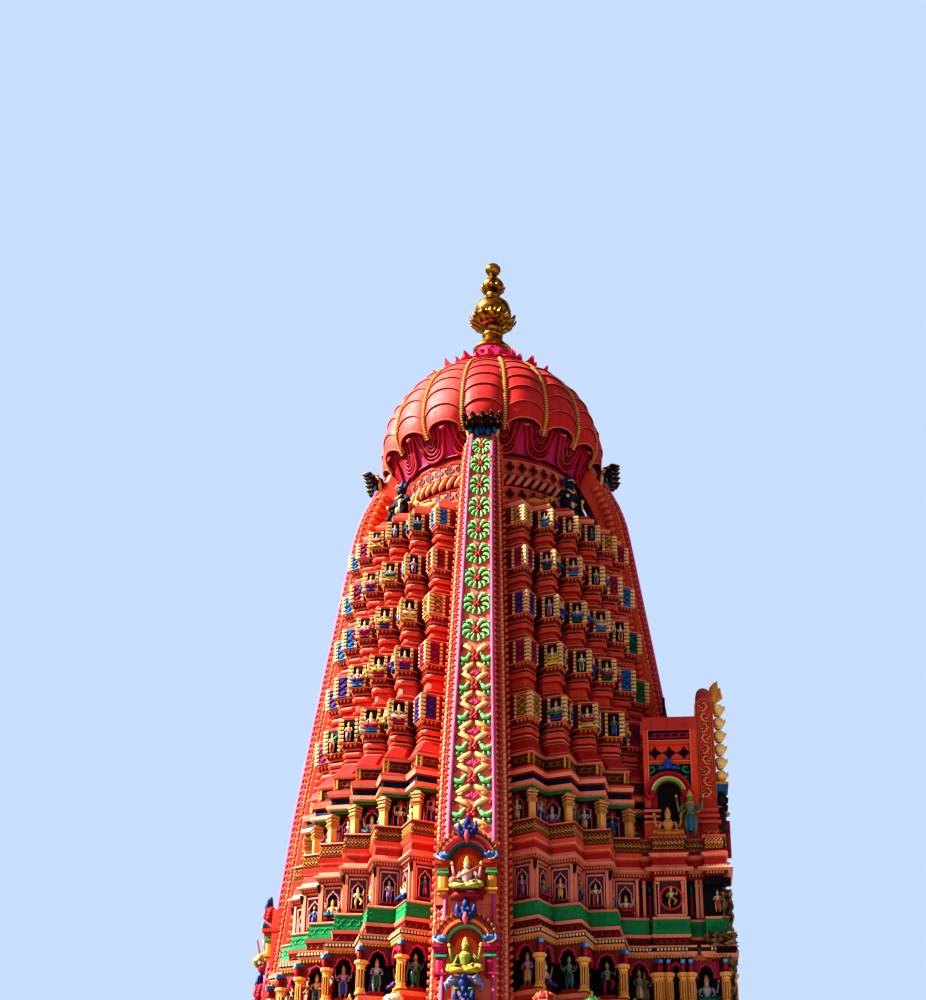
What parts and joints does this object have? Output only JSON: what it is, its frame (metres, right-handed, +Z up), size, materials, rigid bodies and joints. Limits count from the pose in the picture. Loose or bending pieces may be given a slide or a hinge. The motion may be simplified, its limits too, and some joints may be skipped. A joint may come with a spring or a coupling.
{
  "type": "star-plan hindu temple tower",
  "caption": "Tall painted temple tower on a star plan: a doorway into a square sanctum, stacked storeys, ribbed bands rising to a lobed dome, a gabled porch and a gilt finial.",
  "frame": {"origin": "centre of the star plan on the plinth's underside, at ground level", "axes": "+Z up, -Y towards the front band that the picture shows, +X towards the porch and its doorway"},
  "size_m": [13.5003, 11.4, 30.6],
  "materials": {
    "orange_paint": "limewash and enamel on lime plaster, satin, weathered",
    "red_paint": "enamel on lime plaster, satin, weathered",
    "coral_paint": "enamel on lime plaster, satin, weathered",
    "magenta_paint": "enamel on lime plaster, satin",
    "band_paint": "enamel on moulded plaster, satin, several colours",
    "ochre_paint": "enamel on moulded plaster, satin, several colours",
    "blue_paint": "enamel on moulded plaster, satin, several colours",
    "gilt_metal": "gilt, polished, slightly weathered",
    "grey_stone": "dressed stone, dull, weathered",
    "dark_iron": "painted black, dull"
  },
  "bodies": {
    "root": {"plinth": "grey_stone", "entrance_steps": "grey_stone", "wall_west": "orange_paint", "wall_south": "orange_paint", "wall_north": "orange_paint", "door_side_south": "orange_paint", "door_side_north": "orange_paint", "door_lintel": "orange_paint", "sanctum_floor": "grey_stone", "sanctum_ceiling": "grey_stone", "main_eave": "red_paint", "storey_d": "orange_paint", "storey_c": "orange_paint", "storey_b": "orange_paint", "storey_a": "orange_paint", "shrine_row_5": "orange_paint", "shrine_row_4": "orange_paint", "shrine_row_3": "orange_paint", "shrine_row_2": "orange_paint", "shrine_row_1": "orange_paint", "shoulder": "orange_paint", "neck": "coral_paint", "neck_petals": "magenta_paint", "dome": "coral_paint", "crown_petals": "magenta_paint", "finial_base": "gilt_metal", "finial_pot": "gilt_metal", "finial_spire": "gilt_metal", "band_south": "band_paint", "band_east": "band_paint", "band_north": "band_paint", "band_west": "band_paint", "scroll_head_south": "ochre_paint", "scroll_head_east": "ochre_paint", "scroll_head_north": "ochre_paint", "scroll_head_west": "ochre_paint", "shrines_south": "ochre_paint", "shrines_north": "ochre_paint", "shrines_west": "ochre_paint", "porch_storey_d": "orange_paint", "porch_storey_c": "orange_paint", "porch_storey_b": "orange_paint", "balcony": "ochre_paint", "sukanasa_block": "orange_paint", "sukanasa_roof": "coral_paint", "front_gable": "orange_paint", "gable_knobs_south": "gilt_metal", "gable_knobs_north": "gilt_metal", "gable_flame": "gilt_metal", "roof_rod": "dark_iron", "guardian_southeast": "blue_paint", "guardian_northeast": "blue_paint", "guardian_northwest": "blue_paint", "guardian_southwest": "blue_paint"}
  },
  "joints": []
}
